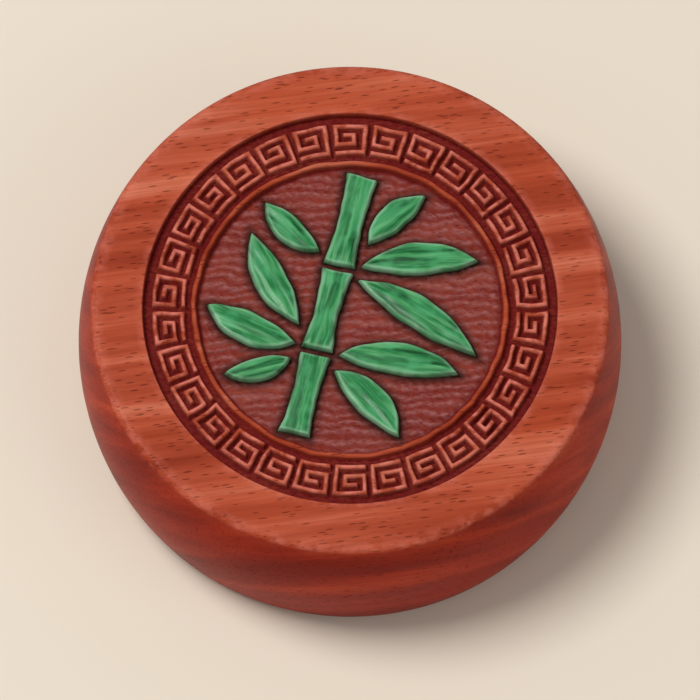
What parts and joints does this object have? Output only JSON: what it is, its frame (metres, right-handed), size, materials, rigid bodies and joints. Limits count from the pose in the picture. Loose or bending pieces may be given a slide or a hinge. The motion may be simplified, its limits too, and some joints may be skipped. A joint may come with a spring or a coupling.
{
  "type": "xiangqi piece",
  "caption": "Drum-shaped turned wooden game piece with a swelling side, flat base, plain rim, carved key-fret ring and a raised bamboo emblem painted green; slides on a board.",
  "frame": {"origin": "centre of the flat base, on the surface that the piece stands on", "axes": "+Z along the axis of the disc, from the base to the carved face; +Y towards the top of the emblem"},
  "size_m": [0.045, 0.045, 0.0165],
  "materials": {
    "red_wood": "waxed satin",
    "green_enamel": "brushed gloss enamel"
  },
  "bodies": {
    "root": {"wooden_body": "red_wood", "stalk_paint_1": "green_enamel", "stalk_paint_2": "green_enamel", "stalk_paint_3": "green_enamel", "leaf_paint_1": "green_enamel", "leaf_paint_2": "green_enamel", "leaf_paint_3": "green_enamel", "leaf_paint_4": "green_enamel", "leaf_paint_5": "green_enamel", "leaf_paint_6": "green_enamel", "leaf_paint_7": "green_enamel", "leaf_paint_8": "green_enamel", "leaf_paint_9": "green_enamel"}
  },
  "joints": []
}
